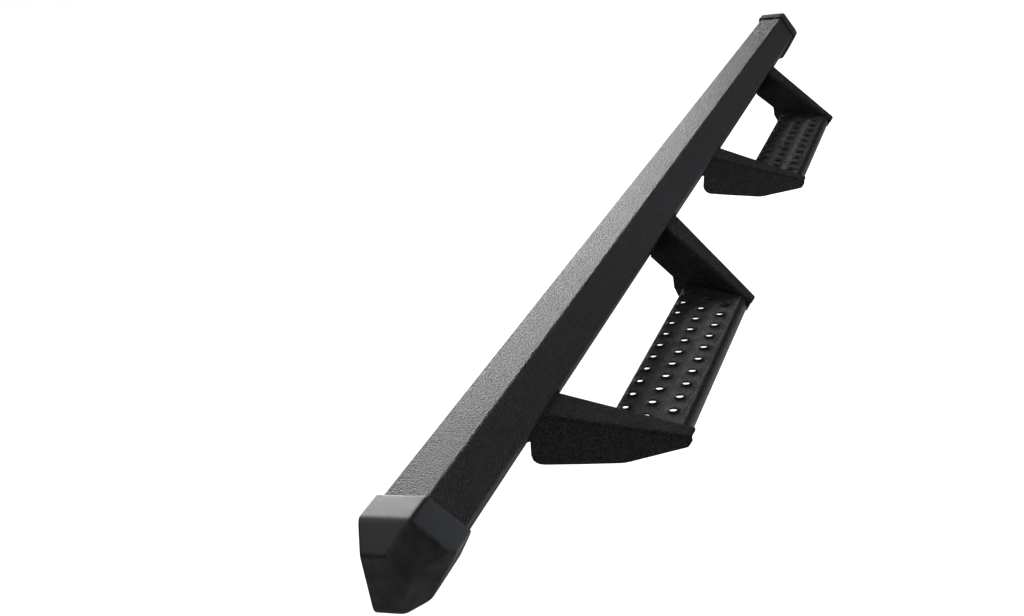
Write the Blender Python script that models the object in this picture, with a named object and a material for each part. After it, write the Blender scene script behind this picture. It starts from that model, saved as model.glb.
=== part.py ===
"""Running board for a pickup truck, with two drop-down steps.

A folded sheet tube of half-hexagon section runs the length of the board. A flat plate closes its
back, and carries the threaded inserts that bolt to the vehicle. A faceted plastic cap covers each
end. Each step is two folded brackets with a dimpled tread between them.

The origin is the middle of the flat back, which faces the vehicle. +X runs along the board, +Y
points to the vehicle, and +Z is up. Every length is in metres.
"""

import math

import bmesh
import bpy
from mathutils import Matrix, Vector

# Main dimensions
TUBE_HEIGHT = 0.076
TOP_WIDTH = 0.044
NOSE_WIDTH = 0.025
RIM_TO_RIM = 2.065
SHEET = 0.002
BEND_RADIUS = 0.004
GAP = 0.0003
ARC_SEGMENTS = 4

# Back plate
PLATE_THICKNESS = 0.003
TOP_RETURN = 0.0047
INSERT_PAIRS = (-0.7825, -0.0505, 0.6915)
INSERT_HEIGHTS = (0.0, -0.028)
INSERT_HOLE_RADIUS = 0.0058
ROUND_SIDES = 24

# End caps: sizes by side or corner of the section, and distances measured from the rim on top
CAP_PROUD = {"top": 0.003, "upper": 0.003, "lower": 0.0055, "bottom": 0.005, "back": 0.003}
TUBE_INSIDE_CAP = 0.025
CAP_NOSE = 0.080
RIM_SETBACK = {"A": 0.0, "B": 0.0, "C": 0.016, "D": 0.036, "E": 0.070}
CAP_SCREWS = ((0.005, 0.019), (0.050, -0.033))
SCREW_HOLE_RADIUS = 0.0027
EDGE_ROUND = 0.009
SOFT_EDGE_SHARE = 0.35

# Steps
STEP_CENTRES = {"rear": -0.4805, "front": 0.4275}
BRACKET_SHEET = 0.003
BRACKET_DROP = 0.0017
BRACKET_REACH = 0.1475
ROOT_OVERRUN = -0.004
FOLD_OUTER = (0.3176, 0.2048)
FOLD_INNER = (0.2576, 0.1781)
FOLD_RADIUS = 0.005

# Tread
TREAD_SHEET = 0.0025
TREAD_PIVOT = (-0.132, -0.0748)
TREAD_FALL = math.radians(3.5)
TREAD_INNER = 0.038
TREAD_OUTER = 0.054
TREAD_LIP = 0.0135
TREAD_ROLL = 0.009
DIMPLE_PITCH = 0.0344
DIMPLE_ROWS = ((0.0263, 12), (-0.0014, 11), (-0.0291, 10))
DIMPLE_SIDES = 8
DIMPLE_BASE = 0.0075
DIMPLE_TOP = 0.0056
DIMPLE_HEIGHT = 0.0022
DIMPLE_HOLE = 0.0042

BLACK_COAT = ("powder_coat", (0.020, 0.020, 0.021), 0.55, 0.0)
BLACK_PLASTIC = ("cap_plastic", (0.026, 0.026, 0.028), 0.50, 0.0)
BRIGHT_ZINC = ("zinc", (0.72, 0.73, 0.75), 0.30, 1.0)


# ---------------------------------------------------------------- helpers


def material(name, finish):
    """A Principled material with this finish's colour, roughness and metallic value."""
    slot, colour, roughness, metallic = finish
    made = bpy.data.materials.new(f"{name}_{slot}")
    made.use_nodes = True
    shader = made.node_tree.nodes["Principled BSDF"]
    shader.inputs["Base Color"].default_value = (*colour, 1.0)
    shader.inputs["Roughness"].default_value = roughness
    shader.inputs["Metallic"].default_value = metallic
    return made


def add_object(name, shape, finish, location=(0, 0, 0), rotation=(0, 0, 0)):
    """Turn a bmesh into a named object with its own material, under the assembly empty."""
    bmesh.ops.recalc_face_normals(shape, faces=shape.faces)
    mesh = bpy.data.meshes.new(name)
    shape.to_mesh(mesh)
    shape.free()
    mesh.shade_smooth()
    mesh.set_sharp_from_angle(angle=math.radians(30))
    made = bpy.data.objects.new(name, mesh)
    bpy.context.scene.collection.objects.link(made)
    made.location = location
    made.rotation_euler = rotation
    if finish is None:
        made.hide_render = True
        made.display_type = "WIRE"
    else:
        made.data.materials.append(material(name, finish))
    made.parent = assembly
    return made


def cut(target, cutter, operation="DIFFERENCE"):
    """Add a Boolean modifier that uses the cutter."""
    step = target.modifiers.new(cutter.name, "BOOLEAN")
    step.operation = operation
    step.object = cutter
    step.solver = "EXACT"


def fillet(corners):
    """Round a closed outline's corners: each corner is (a, b, radius), and 0 keeps it sharp."""
    outline = []
    for i, (a, b, radius) in enumerate(corners):
        here = Vector((a, b))
        if radius == 0:
            outline.append(here)
            continue
        back = (Vector(corners[i - 1][:2]) - here).normalized()
        ahead = (Vector(corners[(i + 1) % len(corners)][:2]) - here).normalized()
        half_angle = back.angle(ahead) / 2
        centre = here + (back + ahead).normalized() * radius / math.sin(half_angle)
        first = here + back * radius / math.tan(half_angle) - centre
        sweep = first.angle_signed(here + ahead * radius / math.tan(half_angle) - centre)
        for k in range(ARC_SEGMENTS + 1):
            turn = Matrix.Rotation(-sweep * k / ARC_SEGMENTS, 2)
            outline.append(centre + turn @ first)
    return outline


def section_corners(outward):
    """The tube section's corners when its sides, top first, are moved outward by these distances."""
    corners = [Vector(point) for point in SECTION.values()]
    moved = []
    for i, here in enumerate(corners):
        side_in = (here - corners[i - 1]).normalized()
        side_out = (corners[(i + 1) % len(corners)] - here).normalized()
        out_in = Vector((side_in.y, -side_in.x))
        out_out = Vector((side_out.y, -side_out.x))
        both = Matrix((out_in, out_out))
        moved.append(here + both.inverted() @ Vector((outward[i - 1], outward[i])))
    return moved


def extrude_along_x(outline, x_start, x_end):
    """A bar whose section is the closed outline of (y, z) points."""
    shape = bmesh.new()
    start = [shape.verts.new((x_start, y, z)) for y, z in outline]
    end = [shape.verts.new((x_end, y, z)) for y, z in outline]
    bridge(shape, start, end)
    shape.faces.new(start)
    shape.faces.new(end)
    return shape


def bridge(shape, first, second):
    """Join two closed rings of the same number of points with a strip of faces."""
    count = len(first)
    for i in range(count):
        j = (i + 1) % count
        shape.faces.new((first[i], first[j], second[j], second[i]))


def trim(shape, point, normal):
    """Cut away all that lies beyond a plane, and close the cut with one face."""
    everything = shape.verts[:] + shape.edges[:] + shape.faces[:]
    sliced = bmesh.ops.bisect_plane(
        shape, geom=everything, plane_co=point, plane_no=normal, clear_outer=True
    )
    edges = [item for item in sliced["geom_cut"] if isinstance(item, bmesh.types.BMEdge)]
    bmesh.ops.contextual_create(shape, geom=edges)


def turned(profile, sides=ROUND_SIDES):
    """Turn a closed (radius, y) profile about the Y axis. A radius of 0 is a point on the axis."""
    shape = bmesh.new()
    rings = []
    for radius, y in profile:
        if radius == 0:
            rings.append([shape.verts.new((0, y, 0))] * sides)
            continue
        angles = [2 * math.pi * k / sides for k in range(sides)]
        rings.append([shape.verts.new((radius * math.cos(a), y, radius * math.sin(a))) for a in angles])
    on_axis = [profile[i][0] == 0 for i in range(len(profile))]
    for i in range(len(rings)):
        j = (i + 1) % len(rings)
        if on_axis[i] and on_axis[j]:
            continue
        for k in range(sides):
            m = (k + 1) % sides
            corners = [rings[i][k], rings[i][m], rings[j][m], rings[j][k]]
            shape.faces.new(list(dict.fromkeys(corners)))
    return shape


def pegs(places, base_radius, top_radius, bottom, top, sides, axis):
    """Round pegs at these places, along Y or Z, joined as one cutter."""
    shape = bmesh.new()
    for place in places:
        turn = Matrix.Rotation(math.radians(-90), 4, "X") if axis == "Y" else Matrix()
        middle = turn @ Matrix.Translation((0, 0, (bottom + top) / 2))
        bmesh.ops.create_cone(
            shape,
            cap_ends=True,
            segments=sides,
            radius1=base_radius,
            radius2=top_radius,
            depth=top - bottom,
            matrix=Matrix.Translation(place) @ middle,
        )
    return shape


# ---------------------------------------------------------------- tube section

HALF_HEIGHT = TUBE_HEIGHT / 2
NOSE_Y = -(TOP_WIDTH + NOSE_WIDTH)
SECTION = {
    "A": (0.0, HALF_HEIGHT),
    "B": (-TOP_WIDTH, HALF_HEIGHT),
    "C": (NOSE_Y, 0.0),
    "D": (-TOP_WIDTH, -HALF_HEIGHT),
    "E": (0.0, -HALF_HEIGHT),
}
TUBE_END = RIM_TO_RIM / 2 + TUBE_INSIDE_CAP


def outer_shell():
    """The folded sheet: top, nose and bottom, with a short return at the top of the back."""
    outer = list(SECTION.values())
    inner = section_corners([-SHEET] * len(outer))
    lip_z = HALF_HEIGHT - TOP_RETURN + GAP / 2
    bottom_y = -PLATE_THICKNESS - GAP
    inner_radius = BEND_RADIUS - SHEET
    corners = [(0.0, lip_z, 0)]
    corners += [(*point, BEND_RADIUS) for point in outer[:4]]
    corners += [(bottom_y, -HALF_HEIGHT, 0), (bottom_y, -HALF_HEIGHT + SHEET, 0)]
    corners += [(*point, inner_radius) for point in reversed(inner[:4])]
    corners += [(-SHEET, lip_z, 0)]
    add_object("outer_shell", extrude_along_x(fillet(corners), -TUBE_END, TUBE_END), BLACK_COAT)


def mounting_plate():
    """The flat back plate, drilled for the inserts and the cap screws."""
    top = HALF_HEIGHT - TOP_RETURN - GAP / 2
    outline = [(0, top), (0, -HALF_HEIGHT), (-PLATE_THICKNESS, -HALF_HEIGHT), (-PLATE_THICKNESS, top)]
    plate = add_object("mounting_plate", extrude_along_x(outline, -TUBE_END, TUBE_END), BLACK_COAT)
    reach = 2 * PLATE_THICKNESS
    insert_places = [(x, 0, z) for x in INSERT_PAIRS for z in INSERT_HEIGHTS]
    screw_places = [(side * (RIM_TO_RIM / 2 - u), 0, z) for side in (-1, 1) for u, z in CAP_SCREWS]
    for name, places, radius in (
        ("insert_hole_cutter", insert_places, INSERT_HOLE_RADIUS),
        ("screw_hole_cutter", screw_places, SCREW_HOLE_RADIUS),
    ):
        holes = pegs(places, radius, radius, -reach, reach, ROUND_SIDES, "Y")
        cut(plate, add_object(name, holes, None))


def threaded_inserts():
    """Six flanged inserts set in the plate, in pairs one above the other."""
    bore = 0.0034
    shank = 0.0055
    bulge = 0.0073
    flange = 0.0078
    flange_top = 0.0016
    plate_back = -PLATE_THICKNESS - GAP
    profile = [
        (bore, 0.0007),
        (0.0043, flange_top),
        (flange - 0.0004, flange_top),
        (flange, flange_top - 0.0004),
        (flange, GAP),
        (shank, GAP),
        (shank, plate_back),
        (bulge, plate_back - 0.0004),
        (bulge, -0.0056),
        (shank, -0.0072),
        (shank, -0.0150),
        (bore, -0.0150),
    ]
    pair_names = ("rear", "middle", "front")
    for pair, x in zip(pair_names, INSERT_PAIRS):
        for level, z in zip(("upper", "lower"), INSERT_HEIGHTS):
            add_object(f"threaded_insert_{pair}_{level}", turned(profile), BRIGHT_ZINC, (x, 0, z))


# ---------------------------------------------------------------- end caps


def cap_body(side):
    """A faceted hollow cap. Its sleeve fits over the tube, and its rim slants back at the bottom.

    The nose is the sleeve's section cut by five planes. Each plane is (normal, distance), in a
    frame where the first axis runs forward from the rim.
    """
    outer = section_corners(list(CAP_PROUD.values()))
    inner = section_corners([GAP] * len(outer))
    shape = bmesh.new()
    rim = [shape.verts.new((-back, *point)) for back, point in zip(RIM_SETBACK.values(), outer)]
    nose = [shape.verts.new((CAP_NOSE, *point)) for point in outer]
    bridge(shape, rim, nose)
    shape.faces.new(nose)
    for normal, distance in (
        ((0.541, 0.0, 0.841), 0.0559),
        ((0.561, -0.754, 0.342), 0.0709),
        ((0.995, 0.0, -0.103), 0.0666),
        ((0.509, -0.805, -0.307), 0.0708),
        ((0.361, 0.932, 0.0), 0.0169),
    ):
        normal = Vector(normal).normalized()
        trim(shape, normal * distance, normal)
    weights = shape.edges.layers.float.new("bevel_weight_edge")
    for edge in shape.edges:
        if not edge.is_boundary:
            low_front = all(v.co.z < -HALF_HEIGHT and v.co.x > 0 for v in edge.verts)
            edge[weights] = 1.0 if low_front else SOFT_EDGE_SHARE
    sleeve_rim = [shape.verts.new((-back, *point)) for back, point in zip(RIM_SETBACK.values(), inner)]
    sleeve_end = [shape.verts.new((TUBE_INSIDE_CAP + GAP, *point)) for point in inner]
    bridge(shape, rim, sleeve_rim)
    bridge(shape, sleeve_rim, sleeve_end)
    shape.faces.new(sleeve_end)
    flip = Matrix.Scale(side, 4, (1, 0, 0))
    bmesh.ops.transform(shape, matrix=flip, verts=shape.verts)
    return shape


def end_caps():
    """A cap on each end, held by two screws through its back wall."""
    head = 0.00575
    shank = SCREW_HOLE_RADIUS - GAP
    profile = [
        (0, 0.0036),
        (0.0020, 0.0035),
        (0.0042, 0.0027),
        (head, 0.0011),
        (head, GAP),
        (shank, GAP),
        (shank, -0.0095),
        (0, -0.0120),
    ]
    for end, side in (("rear", -1), ("front", 1)):
        cap = add_object(f"end_cap_{end}", cap_body(side), BLACK_PLASTIC, (side * RIM_TO_RIM / 2, 0, 0))
        bevel = cap.modifiers.new("soft_edges", "BEVEL")
        bevel.limit_method = "WEIGHT"
        bevel.width = EDGE_ROUND
        bevel.segments = 3
        back = CAP_PROUD["back"]
        places = [(side * (RIM_TO_RIM / 2 - u), back, z) for u, z in CAP_SCREWS]
        holes = pegs(
            places, SCREW_HOLE_RADIUS, SCREW_HOLE_RADIUS, -0.004, 0.002, ROUND_SIDES, "Y"
        )
        cut(cap, add_object(f"cap_hole_cutter_{end}", holes, None))
        for level, place in zip(("upper", "lower"), places):
            screw = add_object(f"cap_screw_{end}_{level}", turned(profile), BRIGHT_ZINC, place)
            socket = pegs([place], 0.0022, 0.0022, 0.0018, 0.0060, 6, "Y")
            cut(screw, add_object(f"socket_cutter_{end}_{level}", socket, None))


# ---------------------------------------------------------------- steps

SLOPE = math.atan2(NOSE_WIDTH, HALF_HEIGHT)
REACH_DIRECTION = Vector((0, -math.cos(SLOPE), -math.sin(SLOPE)))
DEPTH_DIRECTION = Vector((0, math.sin(SLOPE), -math.cos(SLOPE)))
BRACKET_ROOT = Vector((0, NOSE_Y, 0)) + DEPTH_DIRECTION * BRACKET_DROP + REACH_DIRECTION * GAP

# Edges of the brackets' two side walls, as (reach from the tube, depth below the top, radius)
OUTER_WALL = (
    (0.1505, 0.0035, 0.002),
    (0.1505, 0.0137, 0.004),
    (0.099, 0.047, 0.030),
    (0.061, 0.0555, 0.030),
    (0.0154, 0.065, 0.014),
    (0.003, 0.034, 0.0),
    (ROOT_OVERRUN, 0.0386, 0.0),
)
INNER_WALL = (
    (BRACKET_REACH, 0.0157, 0.003),
    (0.0660, 0.0690, 0.010),
    (0.0500, 0.0612, 0.006),
    (0.0415, 0.0502, 0.003),
    (ROOT_OVERRUN, 0.0502, 0.0),
)


def fold_x(fold, reach):
    """How far a fold lies from the step's middle, at this reach from the tube."""
    root, tip = fold
    return root + (tip - root) * reach / BRACKET_REACH


def bracket_point(fold, reach, depth, side):
    """A point of a bracket's side wall, from its reach and depth."""
    across = Vector((side * fold_x(fold, reach), 0, 0))
    return across + REACH_DIRECTION * reach + DEPTH_DIRECTION * depth


def bracket(name, x_centre, side):
    """A folded bracket: a tapering top with a wall turned down along each side.

    It is made a little too long at the root, and trimmed square to the tube's face.
    """
    shape = bmesh.new()
    corners = {}
    for fold in (FOLD_OUTER, FOLD_INNER):
        for reach in (ROOT_OVERRUN, BRACKET_REACH):
            corners[fold, reach] = shape.verts.new(bracket_point(fold, reach, 0, side))
    shape.faces.new(
        (
            corners[FOLD_OUTER, ROOT_OVERRUN],
            corners[FOLD_OUTER, BRACKET_REACH],
            corners[FOLD_INNER, BRACKET_REACH],
            corners[FOLD_INNER, ROOT_OVERRUN],
        )
    )
    for fold, wall in ((FOLD_OUTER, OUTER_WALL), (FOLD_INNER, INNER_WALL)):
        outline = fillet([(BRACKET_REACH, 0, 0), *wall, (ROOT_OVERRUN, 0, 0)])[1:-1]
        edge = [shape.verts.new(bracket_point(fold, reach, depth, side)) for reach, depth in outline]
        shape.faces.new([corners[fold, BRACKET_REACH], *edge, corners[fold, ROOT_OVERRUN]])
    bmesh.ops.recalc_face_normals(shape, faces=shape.faces)
    top = max(shape.faces, key=lambda face: face.normal.dot(-DEPTH_DIRECTION))
    if top.normal.dot(DEPTH_DIRECTION) > 0:
        bmesh.ops.reverse_faces(shape, faces=shape.faces)
    folds = [edge for edge in shape.edges if len(edge.link_faces) == 2]
    bmesh.ops.bevel(
        shape, geom=folds, offset=FOLD_RADIUS, segments=ARC_SEGMENTS, profile=0.5, affect="EDGES"
    )
    bmesh.ops.solidify(shape, geom=shape.faces[:], thickness=BRACKET_SHEET)
    trim(shape, Vector(), -REACH_DIRECTION)
    place = BRACKET_ROOT + Vector((x_centre, 0, 0))
    add_object(name, shape, BLACK_COAT, place)


def tread(name, x_centre):
    """The tread: a folded plate with a lip down each long edge and rows of punched dimples.

    It is made level, with its top at z = 0, and tipped to its fall afterwards. Its ends follow
    the brackets' inner walls.
    """
    outer_radius = TREAD_ROLL
    inner_radius = TREAD_ROLL - TREAD_SHEET
    small_outer = 2 * TREAD_SHEET
    outline = fillet(
        [
            (-TREAD_OUTER, 0, outer_radius),
            (-TREAD_OUTER, -TREAD_LIP, 0),
            (-TREAD_OUTER + TREAD_SHEET, -TREAD_LIP, 0),
            (-TREAD_OUTER + TREAD_SHEET, -TREAD_SHEET, inner_radius),
            (TREAD_INNER - TREAD_SHEET, -TREAD_SHEET, small_outer - TREAD_SHEET),
            (TREAD_INNER - TREAD_SHEET, -TREAD_LIP, 0),
            (TREAD_INNER, -TREAD_LIP, 0),
            (TREAD_INNER, 0, small_outer),
        ]
    )
    shape = extrude_along_x(outline, -FOLD_OUTER[0], FOLD_OUTER[0])
    tip = Matrix.Rotation(TREAD_FALL, 4, "X")
    centre = Vector((x_centre, *TREAD_PIVOT))
    for side in (-1, 1):
        root = BRACKET_ROOT + Vector((x_centre, 0, 0)) + bracket_point(FOLD_INNER, 0, 0, side)
        along = bracket_point(FOLD_INNER, BRACKET_REACH, 0, side) - bracket_point(FOLD_INNER, 0, 0, side)
        outward = along.cross(DEPTH_DIRECTION).normalized()
        if outward.x * side < 0:
            outward = -outward
        wall = root - outward * GAP
        trim(shape, tip.inverted() @ (wall - centre), tip.inverted() @ outward)
    made = add_object(name, shape, BLACK_COAT, centre, (TREAD_FALL, 0, 0))
    places = [
        (DIMPLE_PITCH * (k - (count - 1) / 2), y, 0) for y, count in DIMPLE_ROWS for k in range(count)
    ]
    buried = -TREAD_SHEET / 2
    widening = (DIMPLE_BASE - DIMPLE_TOP) * -buried / DIMPLE_HEIGHT
    collars = pegs(places, DIMPLE_BASE + widening, DIMPLE_TOP, buried, DIMPLE_HEIGHT, DIMPLE_SIDES, "Z")
    holes = pegs(places, DIMPLE_HOLE, DIMPLE_HOLE, -0.006, 0.006, DIMPLE_SIDES, "Z")
    for label, shape, operation in (("collars", collars, "UNION"), ("holes", holes, "DIFFERENCE")):
        cutter = add_object(f"{name}_{label}", shape, None, centre, (TREAD_FALL, 0, 0))
        cut(made, cutter, operation)


def steps():
    """Two steps, each with a bracket at both ends of its tread."""
    for step, x_centre in STEP_CENTRES.items():
        bracket(f"{step}_step_bracket_rear", x_centre, -1)
        bracket(f"{step}_step_bracket_front", x_centre, 1)
        tread(f"{step}_step_tread", x_centre)


for old in list(bpy.data.objects):
    bpy.data.objects.remove(old)

assembly = bpy.data.objects.new("running_board", None)
bpy.context.scene.collection.objects.link(assembly)

outer_shell()
mounting_plate()
threaded_inserts()
end_caps()
steps()
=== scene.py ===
"""Looks for a black running board with two drop-down steps.

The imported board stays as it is. Here its nodes get their finishes. The folded shell, the end caps
and the treads are made again with round bends, soft edges and punched collars, and weld beads are
laid round the brackets' roots. The light, floor and camera are set too. Every length is in metres.
"""

import math

import bmesh
import bpy
import numpy as np
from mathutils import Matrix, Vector


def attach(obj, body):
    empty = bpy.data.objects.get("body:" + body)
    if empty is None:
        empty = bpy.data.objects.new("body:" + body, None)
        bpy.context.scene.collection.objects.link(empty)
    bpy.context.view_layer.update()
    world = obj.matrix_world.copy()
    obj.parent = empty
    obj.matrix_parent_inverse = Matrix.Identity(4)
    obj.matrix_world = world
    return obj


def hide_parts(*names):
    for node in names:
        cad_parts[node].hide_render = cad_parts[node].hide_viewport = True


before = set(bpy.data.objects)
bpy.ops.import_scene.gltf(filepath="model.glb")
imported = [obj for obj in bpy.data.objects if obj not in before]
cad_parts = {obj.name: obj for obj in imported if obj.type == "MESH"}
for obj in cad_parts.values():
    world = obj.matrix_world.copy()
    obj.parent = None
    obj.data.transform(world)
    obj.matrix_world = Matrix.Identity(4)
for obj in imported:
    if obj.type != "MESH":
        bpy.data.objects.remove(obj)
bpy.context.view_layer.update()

# Camera
CAMERA_PLACE = (-1.9627, -0.5308, 0.5931)
CAMERA_TURN_DEGREES = (69.04, 8.81, -71.20)
SENSOR_WIDTH = 36.0
LENS = 47.96

# Stage
FLOOR_LEVEL = -0.90
FLOOR_HALF = 40.0
FLOOR_PALE = (0.45, 0.45, 0.45)
FLOOR_GLOW = 0.97
WORLD_SEEN = 1.0
WORLD_LIGHT = 0.06
FLOOR_ROUGHNESS = 0.9
COOL = (0.88, 0.93, 1.0)
PLAIN = (1.0, 1.0, 1.0)
MIDDLE = (0.0, 0.0, 0.0)

# Softboxes: (name, place, target, width, height, watts, colour)
SOFTBOXES = (
    ("back_left_box", (4.2, 2.5, 1.65), MIDDLE, 3.2, 2.5, 200.0, PLAIN),
    ("overhead_box", (0.5, 1.5, 5.0), MIDDLE, 6.0, 6.0, 105.0, PLAIN),
    ("low_outboard_card", (2.0, -1.3, -0.88), (1.2, -0.2, 0.0), 1.8, 4.4, 22.0, COOL),
    ("front_fill", (-3.2, -2.4, 2.2), MIDDLE, 2.0, 2.0, 9.0, COOL),
)

# Finishes. Each has two colours, the roughness that goes with each of them, patterns given as lumps
# to the metre, shares of one pattern added to another, and depths of relief in metres.
COAT_BASE = (0.0060, 0.0060, 0.0066)
# Lighter colour on the grain tops: a painted glint standing in for highlights on the grains.
COAT_GLINT_TOPS = (0.0300, 0.0303, 0.0315)
COAT_GRAINS = 480.0
COAT_GRAIN_SMOOTHNESS = 0.35
COAT_GRAIN_SHARE = -1.3
COAT_SPECKS = 900.0
COAT_CLOUDS = 9.0
COAT_CLOUD_SHARE = 0.6
COAT_RELIEF_RANGE = (-0.25, 0.40)
COAT_ROUGHNESS = (0.45, 0.26)
PLASTIC_BASE = (0.0170, 0.0172, 0.0185)
PLASTIC_WORN = (0.0310, 0.0312, 0.0330)
PLASTIC_SPARK = 2600.0
PLASTIC_SINKS = 30.0
PLASTIC_SINK_SHARE = 9.0
PLASTIC_RUBS = 75.0
PLASTIC_RELIEF = 0.00006
PLASTIC_ROUGHNESS = (0.30, 0.46)
PLASTIC_GLOSS = 0.42
ZINC_BRIGHT = (0.78, 0.78, 0.76)
ZINC_DULL = (0.52, 0.52, 0.50)
ZINC_SPANGLE = 420.0
ZINC_SPANGLE_SHARE = 0.8
ZINC_MARKS = 2400.0
ZINC_MARK_STRETCH = (1.0, 6.0, 1.0)
ZINC_RELIEF = 0.00003
ZINC_ROUGHNESS = (0.18, 0.42)

# Board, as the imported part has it
TUBE_HEIGHT = 0.076
TOP_WIDTH = 0.044
NOSE_WIDTH = 0.025
RIM_TO_RIM = 2.065
TUBE_END = RIM_TO_RIM / 2 + 0.025
SHEET = 0.002
GAP = 0.0003
BEND_RADIUS = 0.004
PLATE_THICKNESS = 0.003
TOP_RETURN = 0.0047
BEND_STEPS = 14
MERGE_DISTANCE = 0.00002
SHARP_ANGLE = math.radians(38)

# End caps, with X forward from the top of the rim. A flat side of the nose is (x, y, z, distance):
# its outward normal, and how far it is from the middle line of the tube's back at the rim. In order:
# upper slope, outboard diamond, tip, lower outboard slope, inboard slope, and the bevels under the
# tip and under the lower outboard slope.
CAP_CENTRE = (0.020, -0.028, -0.001)
CAP_PROUD = (0.003, 0.003, 0.0055, 0.005, 0.003)
CAP_SETBACK = (0.0, 0.0, 0.016, 0.036, 0.070)
CAP_NOSE_PLANES = (
    (0.541, 0.0, 0.841, 0.0559),
    (0.561, -0.754, 0.342, 0.0709),
    (0.995, 0.0, -0.103, 0.0666),
    (0.509, -0.805, -0.307, 0.0708),
    (0.361, 0.932, 0.0, 0.0169),
    (0.670, 0.0, -0.742, 0.0693),
    (0.315, -0.498, -0.808, 0.0683),
)
CAP_SHARPNESS = 48.0
CAP_ROUND_STEPS = 260
CAP_NOSE_STEPS = 90
CAP_SLEEVE_STEPS = 12
CAP_LIP = 0.0008
CAP_LIP_TURNS = (30, 60, 90)

# Steps
STEP_CENTRES = {"rear": -0.4805, "front": 0.4275}
BRACKET_DROP = 0.0017
BRACKET_REACH = 0.1475
FOLD_OUTER = (0.3176, 0.2048)
FOLD_INNER = (0.2576, 0.1781)
ROOT_DEPTHS = (0.0350, 0.0480)
BEAD_RADIUS = 0.0016
BEAD_RIPPLE = 0.0028
BEAD_RIPPLE_STEPS = 8
BEAD_SWELL = 0.12
BEAD_TIP = 0.05
BEAD_SIDES = 12
TREAD_SHEET = 0.0016
TREAD_PIVOT = (-0.132, -0.0748)
TREAD_FALL = math.radians(3.5)
TREAD_INNER = 0.038
TREAD_OUTER = 0.054
TREAD_LIP = 0.0135
TREAD_INNER_BEND = 0.0035
TREAD_ROLL = 0.009
DIMPLE_PITCH = 0.0344
DIMPLE_ROWS = ((0.0263, 12), (-0.0014, 11), (-0.0291, 10))
DIMPLE_SIDE_STEPS = 8
DIMPLE_PROFILE = (
    (0.0080, 0.0000),
    (0.0073, 0.0003),
    (0.0066, 0.0010),
    (0.0059, 0.0018),
    (0.0053, 0.0022),
    (0.0047, 0.0023),
    (0.0043, 0.0020),
    (0.0041, 0.0015),
    (0.0041, 0.0010),
    (0.0046, 0.0006),
    (0.0055, 0.0003),
    (0.0064, -0.0006),
    (0.0072, -0.0013),
    (0.0080, -0.0016),
)


# ---------------------------------------------------------------- finishes


class Finish:
    """A node material for one slot, built up node by node on a Principled shader."""

    def __init__(self, name, slot):
        self.slot = slot
        self.made = bpy.data.materials.new(name)
        self.made.use_nodes = True
        self.tree = self.made.node_tree
        self.shader = self.tree.nodes["Principled BSDF"]
        self.place = self.node("ShaderNodeTexCoord").outputs["Object"]

    def node(self, kind, **settings):
        made = self.tree.nodes.new(kind)
        for key, value in settings.items():
            setattr(made, key, value)
        return made

    def link(self, source, target):
        self.tree.links.new(source, target)

    def noise(self, scale, detail=2.0, roughness=0.5, stretch=None):
        """Cloudy noise with this many lumps to the metre, optionally stretched along an axis."""
        made = self.node("ShaderNodeTexNoise")
        made.inputs["Scale"].default_value = scale
        made.inputs["Detail"].default_value = detail
        made.inputs["Roughness"].default_value = roughness
        place = self.place
        if stretch is not None:
            mapping = self.node("ShaderNodeMapping")
            mapping.inputs["Scale"].default_value = stretch
            self.link(place, mapping.inputs["Vector"])
            place = mapping.outputs["Vector"]
        self.link(place, made.inputs["Vector"])
        return made.outputs["Fac"]

    def grains(self, scale, smoothness):
        """Rounded grains packed side by side, this many to the metre, as distance to the centre."""
        made = self.node("ShaderNodeTexVoronoi", feature="SMOOTH_F1")
        made.inputs["Scale"].default_value = scale
        made.inputs["Smoothness"].default_value = smoothness
        self.link(self.place, made.inputs["Vector"])
        return made.outputs["Distance"]

    def spread(self, value, low, high, to_low, to_high):
        """Stretch the part of a value between low and high over another range."""
        made = self.node("ShaderNodeMapRange")
        for socket, number in zip(made.inputs[1:5], (low, high, to_low, to_high)):
            socket.default_value = number
        self.link(value, made.inputs["Value"])
        return made.outputs["Result"]

    def mixed(self, share, first, second):
        """One colour turning into another with the share."""
        made = self.node("ShaderNodeMix", data_type="RGBA")
        made.inputs[6].default_value = (*first, 1.0)
        made.inputs[7].default_value = (*second, 1.0)
        self.link(share, made.inputs["Factor"])
        return made.outputs[2]

    def total(self, first, second, second_share):
        """The first value plus a share of the second."""
        made = self.node("ShaderNodeMath", operation="MULTIPLY_ADD")
        self.link(second, made.inputs[0])
        made.inputs[1].default_value = second_share
        self.link(first, made.inputs[2])
        return made.outputs[0]

    def bump(self, height, depth):
        """Raise the surface by height times depth."""
        made = self.node("ShaderNodeBump")
        made.inputs["Strength"].default_value = 1.0
        made.inputs["Distance"].default_value = depth
        self.link(height, made.inputs["Height"])
        self.link(made.outputs["Normal"], self.shader.inputs["Normal"])

    def constant(self, **numbers):
        """Set the shader's own sockets, named with _ for each space."""
        for name, number in numbers.items():
            self.shader.inputs[name.replace("_", " ")].default_value = number


def powder_coat(name, grain_depth=0.0011, gloss=0.38):
    """Black textured powder coat: packed grains about two millimetres across, glossier on top, and
    lighter in colour on the grain tops as painted glints.
    """
    coat = Finish(name, "powder_coat")
    grains = coat.grains(COAT_GRAINS, COAT_GRAIN_SMOOTHNESS)
    fine = coat.noise(COAT_SPECKS)
    cloud = coat.noise(COAT_CLOUDS, detail=3.0)
    relief = coat.total(fine, grains, COAT_GRAIN_SHARE)
    coat.bump(relief, grain_depth)
    tops = coat.spread(relief, *COAT_RELIEF_RANGE, 0.0, 1.0)
    # The grain tops get the lighter colour: painted glint.
    coat.link(coat.mixed(tops, COAT_BASE, COAT_GLINT_TOPS), coat.shader.inputs["Base Color"])
    uneven = coat.total(tops, cloud, COAT_CLOUD_SHARE)
    roughness = coat.spread(uneven, 0.0, 1 + COAT_CLOUD_SHARE, *COAT_ROUGHNESS)
    coat.link(roughness, coat.shader.inputs["Roughness"])
    coat.constant(Specular_IOR_Level=gloss)
    return coat


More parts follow.
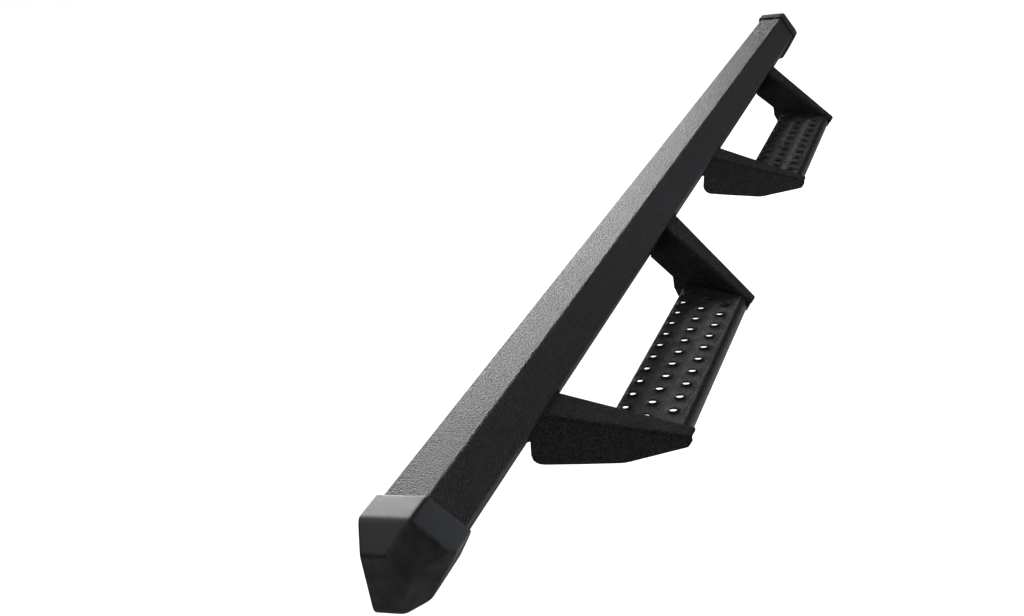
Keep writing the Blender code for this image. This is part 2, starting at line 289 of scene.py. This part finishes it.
def cap_plastic(name):
    """Satin black moulded plastic: fine spark texture, soft sink marks and a slightly rubbed skin."""
    plastic = Finish(name, "cap_plastic")
    spark = plastic.noise(PLASTIC_SPARK, detail=3.0, roughness=0.6)
    sinks = plastic.noise(PLASTIC_SINKS, detail=1.0)
    rubbed = plastic.noise(PLASTIC_RUBS, detail=4.0, roughness=0.65)
    plastic.bump(plastic.total(spark, sinks, PLASTIC_SINK_SHARE), PLASTIC_RELIEF)
    share = plastic.spread(rubbed, 0.40, 0.70, 0.0, 1.0)
    plastic.link(plastic.mixed(share, PLASTIC_BASE, PLASTIC_WORN), plastic.shader.inputs["Base Color"])
    roughness = plastic.spread(rubbed, 0.30, 0.75, *PLASTIC_ROUGHNESS)
    plastic.link(roughness, plastic.shader.inputs["Roughness"])
    plastic.constant(Specular_IOR_Level=PLASTIC_GLOSS)
    return plastic


def zinc_plate(name):
    """Bright zinc plating: faint spangle, fine turning marks and duller patches."""
    zinc = Finish(name, "zinc")
    spangle = zinc.noise(ZINC_SPANGLE, detail=3.0, roughness=0.6)
    marks = zinc.noise(ZINC_MARKS, stretch=ZINC_MARK_STRETCH)
    zinc.bump(zinc.total(marks, spangle, ZINC_SPANGLE_SHARE), ZINC_RELIEF)
    share = zinc.spread(spangle, 0.35, 0.70, 0.0, 1.0)
    zinc.link(zinc.mixed(share, ZINC_BRIGHT, ZINC_DULL), zinc.shader.inputs["Base Color"])
    roughness = zinc.spread(spangle, 0.30, 0.75, *ZINC_ROUGHNESS)
    zinc.link(roughness, zinc.shader.inputs["Roughness"])
    zinc.constant(Metallic=1.0)
    return zinc


def finish_piece(piece, finish):
    """Put a finish in every material slot of a piece."""
    if not piece.material_slots:
        piece.data.materials.append(finish.made)
    for slot in piece.material_slots:
        slot.material = finish.made


# ---------------------------------------------------------------- stage


def area_light(name, place, target, width, height, watts, colour):
    """A softbox that faces the target and isn't seen itself."""
    lamp = bpy.data.lights.new(name, "AREA")
    lamp.shape = "RECTANGLE"
    lamp.size = width
    lamp.size_y = height
    lamp.energy = watts
    lamp.color = colour
    made = bpy.data.objects.new(name, lamp)
    made.location = place
    made.rotation_euler = (Vector(target) - Vector(place)).to_track_quat("-Z", "Y").to_euler()
    made.visible_camera = False
    bpy.context.scene.collection.objects.link(made)


def studio():
    """A pale floor that glows, a pale world and the softboxes.

    The floor stays out of reflections, and the world looks brighter than it lights.
    """
    mesh = bpy.data.meshes.new("floor")
    corners = np.array([(-1, -1), (1, -1), (1, 1), (-1, 1)]) * FLOOR_HALF
    mesh.from_pydata([(x, y, FLOOR_LEVEL) for x, y in corners], [], [(0, 1, 2, 3)])
    floor = bpy.data.objects.new("floor", mesh)
    bpy.context.scene.collection.objects.link(floor)
    paint = bpy.data.materials.new("pale_floor")
    paint.use_nodes = True
    shader = paint.node_tree.nodes["Principled BSDF"]
    shader.inputs["Base Color"].default_value = (*FLOOR_PALE, 1.0)
    shader.inputs["Roughness"].default_value = FLOOR_ROUGHNESS
    shader.inputs["Specular IOR Level"].default_value = 0.0
    shader.inputs["Emission Color"].default_value = (*PLAIN, 1.0)
    shader.inputs["Emission Strength"].default_value = FLOOR_GLOW
    mesh.materials.append(paint)
    floor.visible_glossy = False

    world = bpy.data.worlds.new("pale_world")
    world.use_nodes = True
    tree = world.node_tree
    background = tree.nodes["Background"]
    path = tree.nodes.new("ShaderNodeLightPath")
    level = tree.nodes.new("ShaderNodeMapRange")
    level.inputs["To Min"].default_value = WORLD_LIGHT
    level.inputs["To Max"].default_value = WORLD_SEEN
    tree.links.new(path.outputs["Is Camera Ray"], level.inputs["Value"])
    tree.links.new(level.outputs["Result"], background.inputs["Strength"])
    background.inputs["Color"].default_value = (*PLAIN, 1.0)
    bpy.context.scene.world = world

    for softbox in SOFTBOXES:
        area_light(*softbox)

    bpy.context.scene.view_settings.view_transform = "Standard"


def camera():
    """The camera, low over the rear end of the board and looking along it."""
    data = bpy.data.cameras.new("camera")
    data.sensor_width = SENSOR_WIDTH
    data.lens = LENS
    made = bpy.data.objects.new("camera", data)
    made.location = CAMERA_PLACE
    made.rotation_euler = [math.radians(turn) for turn in CAMERA_TURN_DEGREES]
    bpy.context.scene.collection.objects.link(made)
    bpy.context.scene.camera = made


# ---------------------------------------------------------------- new pieces


def new_piece(name, points, faces, finish, *nodes):
    """A closed smooth-shaded mesh, which takes the place of any nodes that are named.

    Points that meet are merged, and the faces are turned outwards before the shading is set.
    """
    mesh = bpy.data.meshes.new(name)
    mesh.from_pydata(np.asarray(points).tolist(), [], faces)
    shape = bmesh.new()
    shape.from_mesh(mesh)
    bmesh.ops.remove_doubles(shape, verts=shape.verts, dist=MERGE_DISTANCE)
    bmesh.ops.recalc_face_normals(shape, faces=shape.faces)
    shape.to_mesh(mesh)
    shape.free()
    mesh.shade_smooth()
    mesh.set_sharp_from_angle(angle=SHARP_ANGLE)
    mesh.materials.append(finish.made)
    made = bpy.data.objects.new(name, mesh)
    bpy.context.scene.collection.objects.link(made)
    if nodes:
        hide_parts(*nodes)
    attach(made, "root")


def grid_faces(rows, columns, closed=False, start=0):
    """Quads between neighbouring rows of points. A closed grid joins its last column to its first."""
    row = np.arange(rows - 1)[:, None] * columns + start
    column = np.arange(columns if closed else columns - 1)[None, :]
    ahead = (column + 1) % columns
    quads = np.stack([row + column, row + ahead, row + columns + ahead, row + columns + column], axis=-1)
    return quads.reshape(-1, 4).tolist()


def rounded(corners):
    """A closed outline with its corners rounded: each corner is (a, b, radius).

    A corner's arc is its centre plus the radius turned evenly from one side's tangent point to the
    other's, and the centre lies on the bisector at radius / sin(half the corner's angle).
    """
    outline = []
    points = np.array([corner[:2] for corner in corners])
    for i, (a, b, radius) in enumerate(corners):
        here = points[i]
        if radius == 0:
            outline.append(here[None, :])
            continue
        back = points[i - 1] - here
        ahead = points[(i + 1) % len(points)] - here
        back = back / np.linalg.norm(back)
        ahead = ahead / np.linalg.norm(ahead)
        half = math.acos(np.clip(back @ ahead, -1, 1)) / 2
        bisector = (back + ahead) / np.linalg.norm(back + ahead)
        centre = here + bisector * radius / math.sin(half)
        first = here + back * radius / math.tan(half) - centre
        last = here + ahead * radius / math.tan(half) - centre
        sweep = math.atan2(first[0] * last[1] - first[1] * last[0], first @ last)
        turn = sweep * np.linspace(0, 1, BEND_STEPS + 1)
        across = first[0] * np.cos(turn) - first[1] * np.sin(turn)
        up = first[0] * np.sin(turn) + first[1] * np.cos(turn)
        outline.append(centre + np.column_stack([across, up]))
    return np.vstack(outline)


def offset_section(outward):
    """The tube section with each side moved out by its own distance.

    Gives the five corners, the sides' outward normals and the sides' distances from the origin.
    A corner is where two neighbouring sides meet: normal . corner = distance for both.
    """
    half = TUBE_HEIGHT / 2
    corners = np.array(
        [(0, half), (-TOP_WIDTH, half), (-TOP_WIDTH - NOSE_WIDTH, 0), (-TOP_WIDTH, -half), (0, -half)]
    )
    sides = np.roll(corners, -1, axis=0) - corners
    normals = np.stack([-sides[:, 1], sides[:, 0]], axis=-1) / np.linalg.norm(sides, axis=1)[:, None]
    normals *= np.sign((normals * (corners - corners.mean(axis=0))).sum(axis=1))[:, None]
    reach = (normals * corners).sum(axis=1) + np.array(outward)
    moved = [
        np.linalg.solve(np.array([normals[i - 1], normals[i]]), np.array([reach[i - 1], reach[i]]))
        for i in range(len(corners))
    ]
    return np.array(moved), normals, reach


def folded_shell(finish):
    """The folded tube: its section with round bends, carried straight along X."""
    half = TUBE_HEIGHT / 2
    outer = offset_section([0.0] * 5)[0]
    inner = offset_section([-SHEET] * 5)[0]
    lip = half - TOP_RETURN + GAP / 2
    seam = -PLATE_THICKNESS - GAP
    corners = [(0.0, lip, 0)]
    corners += [(*point, BEND_RADIUS) for point in outer[:4]]
    corners += [(seam, -half, 0), (seam, -half + SHEET, 0)]
    corners += [(*point, BEND_RADIUS - SHEET) for point in inner[3::-1]]
    corners += [(-SHEET, lip, 0)]
    section = rounded(corners)
    count = len(section)
    ends = [np.column_stack([np.full(count, x), section]) for x in (-TUBE_END, TUBE_END)]
    faces = grid_faces(2, count, closed=True)
    faces += [list(range(count)), list(range(count, 2 * count))]
    new_piece("folded_shell_coated", np.vstack(ends), faces, finish, "outer_shell")


def faceted_cap(name, node, side, finish):
    """A hollow cap with soft edges.

    The outside is the point in each direction from a centre where the soft maximum of the flat
    sides is met: distance = (sum of (normal . direction / reach) ** sharpness) ** (-1 / sharpness).
    Directions sweep from the tip of the nose round to square with the board. From there the
    section runs straight back to the slanted rim, turns round the lip, and returns inside.
    """
    corners, normals, reach = offset_section(CAP_PROUD)
    inside = offset_section([GAP] * 5)[0]
    position = np.linspace(0, 5, CAP_ROUND_STEPS, endpoint=False)
    corner = position.astype(int)
    share = (position - corner)[:, None]
    centre = np.array(CAP_CENTRE)

    def along(values):
        values = np.asarray(values, float).reshape(5, -1)
        return values[corner] * (1 - share) + np.roll(values, -1, axis=0)[corner] * share

    spoke = along(corners) - centre[1:]
    spoke /= np.linalg.norm(spoke, axis=1)[:, None]
    planes = [(0.0, *normal, distance) for normal, distance in zip(normals, reach)]
    planes = np.array(planes + list(CAP_NOSE_PLANES))
    planes /= np.linalg.norm(planes[:, :3], axis=1)[:, None]
    room = planes[:, 3] - planes[:, :3] @ centre
    sweep = np.linspace(0, math.pi / 2, CAP_NOSE_STEPS)[:, None, None]
    forward = np.array([1.0, 0.0, 0.0])
    spokes = np.column_stack([np.zeros(len(spoke)), spoke])
    ways = np.cos(sweep) * forward + np.sin(sweep) * spokes
    closeness = np.clip(ways @ planes[:, :3].T / room, 0, None)
    distance = (closeness**CAP_SHARPNESS).sum(axis=-1) ** (-1 / CAP_SHARPNESS)
    nose = centre + ways * distance[..., None]
    section = nose[-1, :, 1:]
    rim = -along(CAP_SETBACK)[:, 0]
    hollow = along(inside)
    rows = [nose]
    for back in np.linspace(0, 1, CAP_SLEEVE_STEPS)[1:]:
        x = centre[0] + (rim + CAP_LIP - centre[0]) * back
        rows.append(np.column_stack([x, section])[None])
    inward = hollow - section
    inward /= np.linalg.norm(inward, axis=1)[:, None]
    for turn in CAP_LIP_TURNS:
        angle = math.radians(turn)
        x = rim + CAP_LIP * (1 - math.sin(angle))
        rows.append(np.column_stack([x, section + inward * CAP_LIP * (1 - math.cos(angle))])[None])
    rows.append(np.column_stack([rim, hollow])[None])
    rows.append(np.column_stack([np.full(len(rim), centre[0]), hollow])[None])
    points = np.concatenate(rows)
    points[..., 0] = side * (points[..., 0] + RIM_TO_RIM / 2)
    faces = grid_faces(len(points), CAP_ROUND_STEPS, closed=True)
    last = (len(points) - 1) * CAP_ROUND_STEPS
    faces.append(list(range(last, last + CAP_ROUND_STEPS)))
    new_piece(name, points.reshape(-1, 3), faces, finish, node)


def bracket_frame():
    """Where the brackets meet the tube's lower facet, at x = 0.

    Gives the fold's root just below the nose, the way square out from the facet, and the way down it.
    """
    slope = math.atan2(NOSE_WIDTH, TUBE_HEIGHT / 2)
    reach = np.array([0.0, -math.cos(slope), -math.sin(slope)])
    depth = np.array([0.0, math.sin(slope), -math.cos(slope)])
    root = np.array([0.0, -TOP_WIDTH - NOSE_WIDTH, 0.0]) + depth * BRACKET_DROP + reach * GAP
    return root, reach, depth


def tread_end(y, z, side):
    """How far along X the tread reaches at local (y, z): up to the bracket's inner wall."""
    root, reach, depth = bracket_frame()
    root[0] = side * FOLD_INNER[0]
    run = np.array([side * (FOLD_INNER[1] - FOLD_INNER[0]), 0.0, 0.0]) + reach * BRACKET_REACH
    outward = np.cross(run, depth)
    outward *= side * np.sign(outward[0]) / np.linalg.norm(outward)
    wall = root - outward * GAP
    place_y = TREAD_PIVOT[0] + y * math.cos(TREAD_FALL) - z * math.sin(TREAD_FALL)
    place_z = TREAD_PIVOT[1] + y * math.sin(TREAD_FALL) + z * math.cos(TREAD_FALL)
    lean = outward[1] * (place_y - wall[1]) + outward[2] * (place_z - wall[2])
    return wall[0] - lean / outward[0]


def edge_profile(edge, bend, sign):
    """Section of a lip: from the flat's top over the bend, down, round the tip and back underneath."""
    turn = np.linspace(0, math.pi / 2, BEND_STEPS + 1)
    start = edge - bend
    thin = bend - TREAD_SHEET
    outer = np.column_stack([start + bend * np.sin(turn), -bend + bend * np.cos(turn)])
    inner = np.column_stack([start + thin * np.sin(turn), -bend + thin * np.cos(turn)])[::-1]
    tip = np.array([(edge, -TREAD_LIP), (edge - TREAD_SHEET, -TREAD_LIP)])
    profile = np.vstack([outer, tip, inner])
    profile[:, 0] *= sign
    return profile


def dimpled_tread(name, node, x_centre, finish):
    """The tread: a folded sheet with rows of round collars, each punched up round its own hole.

    Each collar is a square cell of the sheet: rings of points that go from the cell's border in to
    a circle, up over the collar, down through the hole and out again to the border underneath.
    The lips are a section carried along X, and the flat ends run up to the brackets.
    """
    n = DIMPLE_SIDE_STEPS
    unit = DIMPLE_PITCH / n
    levels = [TREAD_INNER - TREAD_INNER_BEND]
    levels += [(DIMPLE_ROWS[i][0] + DIMPLE_ROWS[i + 1][0]) / 2 for i in range(len(DIMPLE_ROWS) - 1)]
    levels += [-TREAD_OUTER + TREAD_ROLL]
    reach = [DIMPLE_ROWS[0][1] * n // 2] + [count * n // 2 for _, count in DIMPLE_ROWS]
    points, faces = [], []

    def add(patch, made_faces):
        start = sum(len(p) for p in points)
        points.append(np.asarray(patch, float))
        faces.extend([[start + i for i in face] for face in made_faces])

    side = np.linspace(-1, 1, n + 1)[:-1]
    square = np.concatenate(
        [
            np.column_stack([np.ones(n), side]),
            np.column_stack([-side, np.ones(n)]),
            np.column_stack([-np.ones(n), -side]),
            np.column_stack([side, -np.ones(n)]),
        ]
    )
    angle = np.linspace(0, 2 * math.pi, 4 * n, endpoint=False) - math.pi / 4
    circle = np.column_stack([np.cos(angle), np.sin(angle)])
    for row, (y, count) in enumerate(DIMPLE_ROWS):
        high, low = levels[row], levels[row + 1]
        border = square * (DIMPLE_PITCH / 2, (high - low) / 2) + (0, (high + low) / 2 - y)
        rings = [np.column_stack([border, np.zeros(4 * n)])]
        rings += [np.column_stack([circle * r, np.full(4 * n, z)]) for r, z in DIMPLE_PROFILE]
        rings += [np.column_stack([border, np.full(4 * n, -TREAD_SHEET)])]
        cell = np.concatenate(rings)
        for k in range(count):
            x = DIMPLE_PITCH * (k - (count - 1) / 2)
            add(cell + (x, y, 0), grid_faces(len(rings), 4 * n, closed=True))
        for end in (-1, 1):
            inner_x = count * n / 2
            column = np.column_stack([np.full(n + 1, inner_x * unit), np.linspace(low, high, n + 1)])
            extra = np.arange(inner_x + 1, reach[row] + 1) * unit
            flat = [column, np.column_stack([extra, np.full(len(extra), high)])]
            corners = [(abs(tread_end(level, 0, end)), level) for level in (high, low)]
            outline = np.vstack(flat + [corners])
            for z in (0.0, -TREAD_SHEET):
                patch = np.column_stack([outline, np.full(len(outline), z)])
                patch[-2:, 0] = [abs(tread_end(level, z, end)) for level in (high, low)]
                add(patch * (end, 1, 1), [list(range(len(patch)))])

    inner_lip = edge_profile(TREAD_INNER, TREAD_INNER_BEND, 1)
    outer_lip = edge_profile(TREAD_OUTER, TREAD_ROLL, -1)
    for profile, widest in ((inner_lip, reach[0]), (outer_lip, reach[-1])):
        across = np.arange(-widest, widest + 1) * unit
        middle = np.repeat(across[:, None], len(profile), axis=1)
        ends = [tread_end(profile[:, 0], profile[:, 1], end)[None] for end in (-1, 1)]
        x = np.concatenate([ends[0], middle, ends[1]])
        patch = np.stack([x, *np.broadcast_arrays(profile[:, 0], profile[:, 1], x)[:2]], axis=-1)
        add(patch.reshape(-1, 3), grid_faces(len(x), len(profile)))

    flats = np.array([(level, 0.0) for level in levels[1:-1]])
    loop = np.vstack([inner_lip, flats - (0, TREAD_SHEET), outer_lip[::-1], flats[::-1]])
    for end in (-1, 1):
        x = tread_end(loop[:, 0], loop[:, 1], end)
        add(np.column_stack([x, loop]), [list(range(len(loop)))])

    flat = np.vstack(points)
    fall = np.array([math.cos(TREAD_FALL), math.sin(TREAD_FALL)])
    placed = np.column_stack(
        [
            flat[:, 0] + x_centre,
            TREAD_PIVOT[0] + flat[:, 1] * fall[0] - flat[:, 2] * fall[1],
            TREAD_PIVOT[1] + flat[:, 1] * fall[1] + flat[:, 2] * fall[0],
        ]
    )
    new_piece(name, placed, faces, finish, node)


def weld_bead(name, x_centre, side, finish):
    """The weld round a bracket's root: a rippled round bead, closed at both ends.

    Its path runs up the inner wall's root, across under the fold line and down the outer wall's
    root. The section is a circle square to the path, and its radius swells and shrinks as a
    cosine of the distance run, as the puddles of a weld do.
    """
    root, reach, depth = bracket_frame()
    root[0] = x_centre
    across = np.array([side, 0.0, 0.0])
    outer_depth, inner_depth = ROOT_DEPTHS
    stops = np.array(
        [
            root + across * FOLD_INNER[0] + depth * inner_depth,
            root + across * FOLD_INNER[0],
            root + across * FOLD_OUTER[0],
            root + across * FOLD_OUTER[0] + depth * outer_depth,
        ]
    )
    lengths = np.linalg.norm(np.diff(stops, axis=0), axis=1)
    run = np.concatenate([[0.0], np.cumsum(lengths)])
    distance = np.linspace(0, run[-1], int(run[-1] / BEAD_RIPPLE * BEAD_RIPPLE_STEPS))
    path = np.stack([np.interp(distance, run, stops[:, k]) for k in range(3)], axis=-1)
    tangent = np.gradient(path, axis=0)
    tangent /= np.linalg.norm(tangent, axis=1)[:, None]
    sideways = np.cross(tangent, reach)
    ripple = np.cos(2 * math.pi * distance / BEAD_RIPPLE)
    radius = BEAD_RADIUS * (1 - BEAD_SWELL + BEAD_SWELL * ripple)
    from_tip = np.minimum(distance, run[-1] - distance)
    radius *= np.sqrt(np.clip(from_tip / BEAD_RADIUS, BEAD_TIP, 1.0))
    angle = np.linspace(0, 2 * math.pi, BEAD_SIDES, endpoint=False)[None, :, None]
    ring = np.cos(angle) * reach + np.sin(angle) * sideways[:, None, :]
    points = path[:, None, :] + ring * radius[:, None, None]
    faces = grid_faces(len(points), BEAD_SIDES, closed=True)
    last = (len(points) - 1) * BEAD_SIDES
    faces += [list(range(BEAD_SIDES)), list(range(last, last + BEAD_SIDES))]
    new_piece(name, points.reshape(-1, 3), faces, finish)


# ---------------------------------------------------------------- assembly

studio()
camera()

coat = powder_coat("textured_black_coat")
bracket_coat = powder_coat("bracket_black_coat", grain_depth=0.0009, gloss=0.20)
tread_coat = powder_coat("tread_black_coat", grain_depth=0.0004, gloss=0.16)
plastic = cap_plastic("satin_black_plastic")
zinc = zinc_plate("bright_zinc")

for name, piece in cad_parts.items():
    if name.startswith("end_cap"):
        finish_piece(piece, plastic)
    elif name.startswith(("cap_screw", "threaded_insert")):
        finish_piece(piece, zinc)
    elif "bracket" in name:
        finish_piece(piece, bracket_coat)
    else:
        finish_piece(piece, coat)

folded_shell(coat)
for end, side in (("rear", -1), ("front", 1)):
    faceted_cap(f"soft_edged_cap_{end}", f"end_cap_{end}", side, plastic)
for step, x_centre in STEP_CENTRES.items():
    dimpled_tread(f"{step}_dimpled_tread", f"{step}_step_tread", x_centre, tread_coat)
    for end, side in (("rear", -1), ("front", 1)):
        weld_bead(f"{step}_weld_bead_{end}", x_centre, side, bracket_coat)
